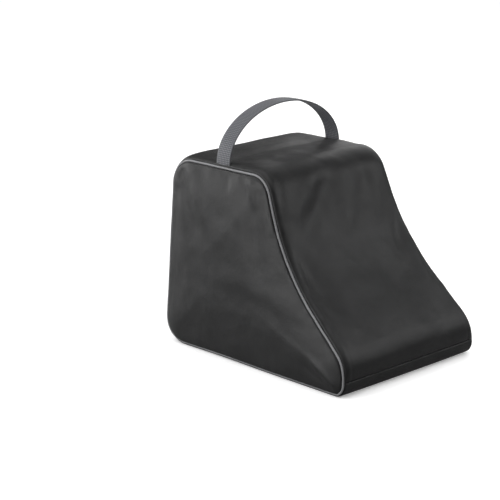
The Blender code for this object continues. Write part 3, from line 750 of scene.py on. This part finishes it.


# ------------------------ rear flap
# What lies inside the zip is the flap, one with the rear panel at its foot.  It is built
# closed, in the rear face; the line it would fold down and out along lies a little above the
# slider.
flap_cells = (74, 78)
flap_low, flap_high = zip_foot, zip_top - fabric_edge
flap_half = zip_half - fabric_edge
flap_bend = zip_bend - fabric_edge
flap_edges = [0.0, 0.0003, 0.0009, 0.0016, 0.0025, 0.0040]
flap, column, row = cloth_grid("rear_flap_cloth", *flap_cells)
top_rows = len(flap_edges) - 1
share = row / (flap_cells[1] - top_rows)
up = np.where(row <= flap_cells[1] - top_rows,
              flap_low + (flap_high - flap_edges[-1] - flap_low) * share,
              flap_high - np.interp(flap_cells[1] - row, range(top_rows + 1), flap_edges))
over = np.clip(up - (flap_high - flap_bend), 0.0, flap_bend)
half = flap_half - flap_bend + np.sqrt(np.maximum(flap_bend ** 2 - over ** 2, 0.0))
from_edge = np.minimum(column, flap_cells[0] - column)
share = (column - top_rows) / (flap_cells[0] - 2 * top_rows) * 2 - 1
inner = share * (half - flap_edges[-1])
outer = np.sign(share) * (half - np.interp(from_edge, range(top_rows + 1), flap_edges))
a = np.where(from_edge < top_rows, outer, inner)
corner = np.hypot(np.clip(np.abs(a) - (flap_half - flap_bend), 0, None), over)
edge = np.where((over > 0) & (np.abs(a) > flap_half - flap_bend), flap_bend - corner,
                np.minimum(flap_half - np.abs(a), flap_high - up))
edge = np.clip(edge, 0.0, None)
rise = np.clip((up - fold_height) / 0.030, 0.0, 1.0)
out = seam_roll(edge, 0.0009)
spots = on_rear(a, up, 0.0)
room = np.clip(edge / 0.012, 0.0, 1.0) * np.clip((up - flap_low) / 0.012, 0.0, 1.0)
out += 0.0036 * rise * (1 - (1 - np.clip(edge / 0.055, 0, 1)) ** 2)
out += crumple(spots, 0.040, 0.0018, 29.0) * room
out += soft_fold(a, up, (-0.060, 0.085), (0.010, 0.130), 0.010, -0.0016) * room
out += soft_fold(a, up, (0.055, 0.190), (0.020, 0.120), 0.012, 0.0016) * room
lay_cloth(flap, on_rear(a, up, out), np.stack([a, up], axis=1))
thicken(flap, cloth_thickness, outside=(-1.0, 0.0, 0.0))
dress(flap, body_cloth, "body_cloth", None, "rear_flap_panel")
fold_start = on_rear([0.0], fold_height - 0.0050)[0]
fold_end = on_rear([0.0], fold_height + 0.0090)[0]
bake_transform(flap)


# ------------------------ zip tapes
# Two woven black tapes, one sewn under the surround and one under the flap.
zip_tape = plain_weave("zip_tape", (0.009, 0.009, 0.009), (0.026, 0.026, 0.027), 0.0009, 0.60,
                       on_chart=True, weave_bump=0.7, crease_bump=0.1, specular=0.35)
tape_low = rear_low + 0.0020
tape_width = 0.0124
zip_tape_cells = (220, 8)     # along the tape and across it
for name, side, body in (("outer", 1, "bag"), ("flap", -1, None)):
    tape, column, row = cloth_grid("zip_tape_cloth_" + name, *zip_tape_cells)
    across, up, out_a, out_s, run = zip_line(tape_low, column / zip_tape_cells[0])
    offset = side * (0.0006 + tape_width * row / zip_tape_cells[1])
    a, s = across + out_a * offset, up + out_s * offset
    ripple = -0.0015 - 0.00012 * (1 + np.sin(run / 0.0045)) * (row / zip_tape_cells[1])
    lay_cloth(tape, on_rear(a, s, ripple), np.stack([offset, run], axis=1))
    thicken(tape, 0.0006, outside=(-1.0, 0.0, 0.0))
    dress(tape, zip_tape, "zip_tape", body, "zip_tape_" + name)
    if side < 0:
        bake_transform(tape)


# ------------------------ zip coil
# Nylon coil: one loop of monofilament after another along each tape, the two rows meshing.
coil_pitch = 0.00135
coil_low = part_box("zip_chain_outer")[0][2] / math.cos(lean)
nylon = speckled("coil_nylon", 600.0, 2.0, (0.010, 0.010, 0.010), (0.030, 0.030, 0.031), 0.32)[0]


def repeat(name, seed, places, columns):
    """One piece made of a seed shape set at every place, its axes given by columns."""
    corners = np.empty(len(seed.data.vertices) * 3)
    seed.data.vertices.foreach_get("co", corners)
    corners = corners.reshape(-1, 3)
    faces = [tuple(face.vertices) for face in seed.data.polygons]
    spots = (np.einsum("kij,vj->kvi", columns, corners) + places[:, None, :]).reshape(-1, 3)
    sides = []
    for k in range(len(places)):
        step = k * len(corners)
        sides += [tuple(index + step for index in face) for face in faces]
    mesh = bpy.data.meshes.new(name)
    mesh.from_pydata([tuple(spot) for spot in spots], [], sides)
    mesh.update()
    piece = bpy.data.objects.new(name, mesh)
    bpy.context.scene.collection.objects.link(piece)
    mesh.shade_smooth()
    bpy.data.objects.remove(seed, do_unlink=True)
    return piece


rear_out = np.array([-math.cos(lean), 0.0, math.sin(lean)])
for name, side, body in (("outer", 1, "bag"), ("flap", -1, None)):
    select_only()
    bpy.ops.mesh.primitive_cube_add(size=1.0)
    loop = bpy.context.object
    loop.scale = (0.0034, 0.00060, 0.0019)
    bpy.ops.object.transform_apply(location=False, rotation=False, scale=True)
    rounding = loop.modifiers.new("rounding", "BEVEL")
    rounding.width = 0.00024
    rounding.segments = 1
    apply_all(loop)
    length = zip_line(coil_low, [1.0])[4][0]
    count = int(length / coil_pitch) - 1
    share = (np.arange(count) + (0.25 if side > 0 else 0.75)) * coil_pitch / length
    across, up, out_a, out_s = zip_line(coil_low, share)[:4]
    offset = side * 0.0013
    places = on_rear(across + out_a * offset, up + out_s * offset, -0.00015)
    first = np.stack([out_s * math.sin(lean), -out_a, out_s * math.cos(lean)], axis=1) * side
    third = np.broadcast_to(rear_out, first.shape)
    second = np.cross(third, first)
    first = first + 0.10 * second * side
    teeth = repeat("zip_coil_" + name, loop, places, np.stack([first, second, third], axis=2))
    replaced = ["zip_chain_" + name]
    if side < 0:
        replaced += ["zip_chain_end_left", "zip_chain_end_right"]
    dress(teeth, nylon, "zip_teeth", body, *replaced)
    if side < 0:
        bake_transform(teeth)


# ------------------------ zip stops, slider and puller
# Die-cast zinc with a dark plated finish: a crimped stop at the foot of each leg, the slider
# on the left leg, and a flat puller that swings on the slider's bridge.
plated_zinc, tree, shader, wear = speckled("plated_zinc", 260.0, 4.0, (0.055, 0.055, 0.058),
                                           (0.16, 0.16, 0.165), 0.42)
rough = add_node(tree, "MapRange", {"To Min": 0.25, "To Max": 0.42, "Value": wear})
set_inputs(tree, shader, {"Roughness": rough.outputs["Result"], "Metallic": 1.0})


def cast_copy(node, name, rounding):
    """A copy of a hard piece with its edges rounded as casting leaves them."""
    piece = bpy.data.objects.new(name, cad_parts[node].data.copy())
    bpy.context.scene.collection.objects.link(piece)
    piece.data.transform(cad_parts[node].matrix_world)
    select_only(piece)
    bpy.ops.object.mode_set(mode="EDIT")
    bpy.ops.mesh.select_all(action="SELECT")
    bpy.ops.mesh.remove_doubles(threshold=0.000002)
    bpy.ops.mesh.dissolve_limited(angle_limit=math.radians(1.0))
    bpy.ops.object.mode_set(mode="OBJECT")
    edge = piece.modifiers.new("rounding", "BEVEL")
    edge.width = rounding
    edge.segments = 3
    edge.limit_method = "ANGLE"
    edge.angle_limit = math.radians(35)
    apply_all(piece)
    bpy.ops.object.shade_smooth_by_angle(angle=math.radians(40))
    return piece


for name in ("left", "right"):
    stop = cast_copy("zip_stop_" + name, "zip_stop_cast_" + name, 0.00045)
    dress(stop, plated_zinc, "zip_metal", "bag", "zip_stop_" + name)
slider = cast_copy("zip_slider", "zip_slider_cast", 0.00022)
dress(slider, plated_zinc, "zip_metal", "slider", "zip_slider")
puller = cast_copy("zip_puller", "zip_puller_cast", 0.00035)
# A raised rim runs round the puller: both broad faces are sunk inside it.
bpy.ops.object.mode_set(mode="EDIT")
bpy.ops.mesh.select_all(action="DESELECT")
work = bmesh.from_edit_mesh(puller.data)
for face in work.faces:
    broad = face.calc_area() > 0.00008
    face.select = broad and abs(face.normal.dot(Vector(rear_out))) > 0.99
bmesh.update_edit_mesh(puller.data)
bpy.ops.mesh.inset(thickness=0.0009, depth=-0.00030, use_even_offset=True)
bpy.ops.object.mode_set(mode="OBJECT")
dress(puller, plated_zinc, "zip_metal", "puller", "zip_puller")


# ------------------------ handle
# One length of grey ribbed polyester webbing, arched over the top, with both ends caught in
# the side seams.
webbing_width = 0.0265
webbing_thickness = 0.0016
webbing_x = (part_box("handle_webbing")[0][0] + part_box("handle_webbing")[1][0]) / 2
webbing_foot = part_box("handle_root_left")[0][2]
webbing_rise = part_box("handle_webbing")[1][2] - webbing_foot - webbing_thickness / 2
webbing_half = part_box("handle_root_left")[0][1] + 0.0002
strap_columns, strap_rows = 20, 260
root_rows = 12                # rows of each end that are caught in the side seam
root_depth = 0.009
strap, column, row = cloth_grid("handle_strap", strap_columns, strap_rows)
arch_rows = strap_rows - 2 * root_rows
angle = math.pi * (row - root_rows) / arch_rows
angle = np.clip(angle, 0.0, math.pi)
past_root = np.maximum(root_rows - row, row - (strap_rows - root_rows))
below = np.clip(past_root, 0, None) / root_rows * root_depth
y = -webbing_half * np.cos(angle)
z = webbing_foot + webbing_rise * np.sin(angle) - below
out_y, out_z = -webbing_rise * np.cos(angle), webbing_half * np.sin(angle)
size = np.hypot(out_y, out_z)
out_y, out_z = out_y / size, out_z / size
turns = np.linspace(0, math.pi, arch_rows + 1)
arch_run = np.cumsum(np.hypot(np.gradient(-webbing_half * np.cos(turns)),
                              np.gradient(webbing_rise * np.sin(turns))))
row_marks = np.concatenate([[0], np.arange(root_rows, strap_rows - root_rows + 1), [strap_rows]])
along = np.interp(row, row_marks,
                  np.concatenate([[-root_depth], arch_run, [arch_run[-1] + root_depth]]))
wide = column / strap_columns - 0.5
arch = 0.0005 * (1 - 4 * wide ** 2)
rib = 0.00010 * np.sin(along * 2 * math.pi / 0.0027) * (np.abs(wide) < 0.44)
lift = arch + rib
x = webbing_x + wide * webbing_width
spots = np.stack([x, y + out_y * lift, z + out_z * lift], axis=1)
lay_cloth(strap, spots, np.stack([wide * webbing_width, along], axis=1))
wall = strap.modifiers.new("wall", "SOLIDIFY")
wall.thickness = webbing_thickness
wall.offset = 0.0
edge = strap.modifiers.new("selvedge", "BEVEL")
edge.width = 0.0005
edge.segments = 2
edge.limit_method = "ANGLE"
edge.angle_limit = math.radians(50)
apply_all(strap)
weld(strap)
strap.data.shade_smooth()
webbing, tree, shader = new_finish("webbing")
chart = add_node(tree, "TexCoord").outputs["UV"]
rib = crossed_threads(tree, chart, (("X", 0.0030), ("Y", 0.0027)), {"Distortion": 0.4})
mix = blend_amounts(tree, rib, noise_amount(tree, chart, 1400.0), 0.22)
# The colour darkens along both edges of the webbing.
split = add_node(tree, "SeparateXYZ", {"Vector": chart})
aside = add_node(tree, "Math", {0: split.outputs["X"]}, operation="ABSOLUTE")
selvedge = add_node(tree, "MapRange", {"From Min": 0.0112, "From Max": 0.0120,
                                       "Value": aside.outputs[0]})
ribbed = two_tone(tree, mix, (0.030, 0.032, 0.038), (0.165, 0.170, 0.190), 0.14, 0.58)
tone = add_node(tree, "Mix", {"A": ribbed, "B": (0.055, 0.058, 0.066, 1.0),
                              "Factor": selvedge.outputs["Result"]}, data_type="RGBA")
set_inputs(tree, shader, {
    "Base Color": tone.outputs["Result"], "Normal": add_bump(tree, mix, 0.6, 0.0004),
    "Roughness": 0.58, "Sheen Weight": 0.12, "Sheen Roughness": 0.5})
dress(strap, webbing, "webbing", None, "handle_webbing", "handle_root_left", "handle_root_right")
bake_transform(strap)


# ------------------------ topstitching
# Black bonded thread, about eight stitches to the inch: along the seam above the toe and
# the one at the heel, and round both folded edges of the zip opening.
thread = speckled("thread", 1500.0, 2.0, (0.010, 0.010, 0.010), (0.040, 0.040, 0.041), 0.45)[0]
stitch_pitch = 0.0032


def stitch_row(name, cloth, guide, body="bag"):
    """A row of stitches sunk into a cloth, along a guide of points that lie close to it."""
    guide = np.asarray(guide, float)
    run = length_marks(guide)
    spots = np.arange(stitch_pitch / 2, run[-1], stitch_pitch)
    ends = [np.stack([np.interp(spots + shift, run, guide[:, i]) for i in range(3)], axis=1)
            for shift in (-0.0006, 0.0006)]
    skin = BVHTree.FromPolygons([vertex.co for vertex in cloth.data.vertices],
                                [tuple(face.vertices) for face in cloth.data.polygons])
    places, frames = [], []
    for start, end in zip(*ends):
        spot, out, _, _ = skin.find_nearest(Vector((start + end) / 2))
        first = Vector(end - start)
        first = (first - out * first.dot(out)).normalized()
        places.append(spot + out * 0.00006)
        frames.append(np.stack([first, out.cross(first), out], axis=1))
    select_only()
    bpy.ops.mesh.primitive_uv_sphere_add(segments=6, ring_count=5, radius=1.0,
                                         rotation=(0, math.pi / 2, 0))
    stitch = bpy.context.object
    stitch.scale = (0.00030, 0.00034, 0.00122)
    bpy.ops.object.transform_apply(location=False, rotation=True, scale=True)
    row = repeat(name, stitch, np.array(places), np.array(frames))
    return dress(row, thread, "body_cloth", body)


row_half = 0.1235             # half the length of a cross row before it is fitted
across = np.linspace(-row_half, row_half, 60)
for name, cloth, run in (("toe", front_cloth, toe_mark - 0.0034),
                         ("toe_lower", base_cloth, toe_mark + 0.0026),
                         ("heel", base_cloth, base_end - 0.0034),
                         ("rear_top", front_cloth, high_mark + 0.0030)):
    x, z = on_outline(np.full(len(across), run))[:2]
    wide = (float(half_width(z[0])) - panel_edge - 0.004) / row_half
    stitch_row("stitches_" + name, cloth, np.stack([x, across * wide, z], axis=1))
share = np.linspace(0.0, 1.0, 400)
line = zip_line(zip_foot + 0.0015, share)
for name, cloth, offset, body in (("zip_outer", surround_cloth, fabric_edge + 0.0022, "bag"),
                                  ("zip_flap", flap, -fabric_edge - 0.0022, None)):
    guide = on_rear(line[0] + line[2] * offset, line[1] + line[3] * offset)
    row = stitch_row("stitches_" + name, cloth, guide, body)
    if body is None:
        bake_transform(row)


# ------------------------ floor, light and camera
floor_white, tree, shader = new_finish("floor_white")
# The camera sees a white floor, but the floor throws little light back up on the bag.
seen = add_node(tree, "LightPath").outputs["Is Camera Ray"]
tone = add_node(tree, "Mix", {"A": (0.30, 0.30, 0.30, 1), "B": (0.90, 0.90, 0.90, 1),
                              "Factor": seen}, data_type="RGBA")
glow = add_node(tree, "Math", {0: seen, 1: 0.30}, operation="MULTIPLY")
set_inputs(tree, shader, {"Base Color": tone.outputs["Result"], "Emission Color": (1, 1, 1, 1),
                          "Emission Strength": glow.outputs[0]})
bpy.ops.mesh.primitive_plane_add(size=16.0)
floor = bpy.context.object
floor.name = "floor"
floor.data.materials.append(floor_white)
world = bpy.data.worlds.new("studio")
bpy.context.scene.world = world
world.use_nodes = True
tree = world.node_tree
# The sky is white to the camera and dim to everything else.
seen = add_node(tree, "LightPath").outputs["Is Camera Ray"]
sky = add_node(tree, "MapRange", {"To Min": 0.125, "To Max": 1.0, "Value": seen})
set_inputs(tree, tree.nodes["Background"], {"Color": (1, 1, 1, 1),
                                            "Strength": sky.outputs["Result"]})
bpy.ops.object.light_add(type="SUN", location=(0, 0, 2))
sun = bpy.context.object
sun.data.energy = 2.45
sun.data.angle = math.radians(80)
sun.rotation_euler = Vector((-0.10, -0.20, 1.0)).to_track_quat("Z", "Y").to_euler()
for spot, size, watts in (((-0.9, -2.0, 0.5), 0.8, 20.0), ((-2.0, -0.8, 0.6), 0.9, 17.0),
                          ((-1.1, 2.3, 1.15), 1.6, 14.0), ((2.2, 0.2, 1.8), 1.3, 8.4),
                          ((0.65, 0.65, 0.6), 0.6, 3.2)):
    bpy.ops.object.light_add(type="AREA", location=spot)
    lamp = bpy.context.object
    lamp.data.shape = "SQUARE"
    lamp.data.size = size
    lamp.data.energy = watts
    lamp.rotation_euler = (Vector(spot) - Vector((0, 0, 0.15))).to_track_quat("Z", "Y").to_euler()
# The camera stands here and looks at aim, swung a little to the left of it.
eye = Vector((1.75064, -1.76967, 0.85823))
aim = Vector((0.0012, 0.0, 0.14))
ahead = (aim - eye).normalized()
right = ahead.cross(Vector((0, 0, 1))).normalized()
over = right.cross(ahead)
swing = math.radians(2.03)
facing = ahead * math.cos(swing) - right * math.sin(swing)
beside = right * math.cos(swing) + ahead * math.sin(swing)
bpy.ops.object.camera_add(location=eye)
camera = bpy.context.object
camera.rotation_euler = Matrix((beside, over, -facing)).transposed().to_euler()
camera.data.sensor_width = 36.0
camera.data.lens = 134.4
bpy.context.scene.camera = camera
bpy.context.scene.view_settings.view_transform = "Standard"
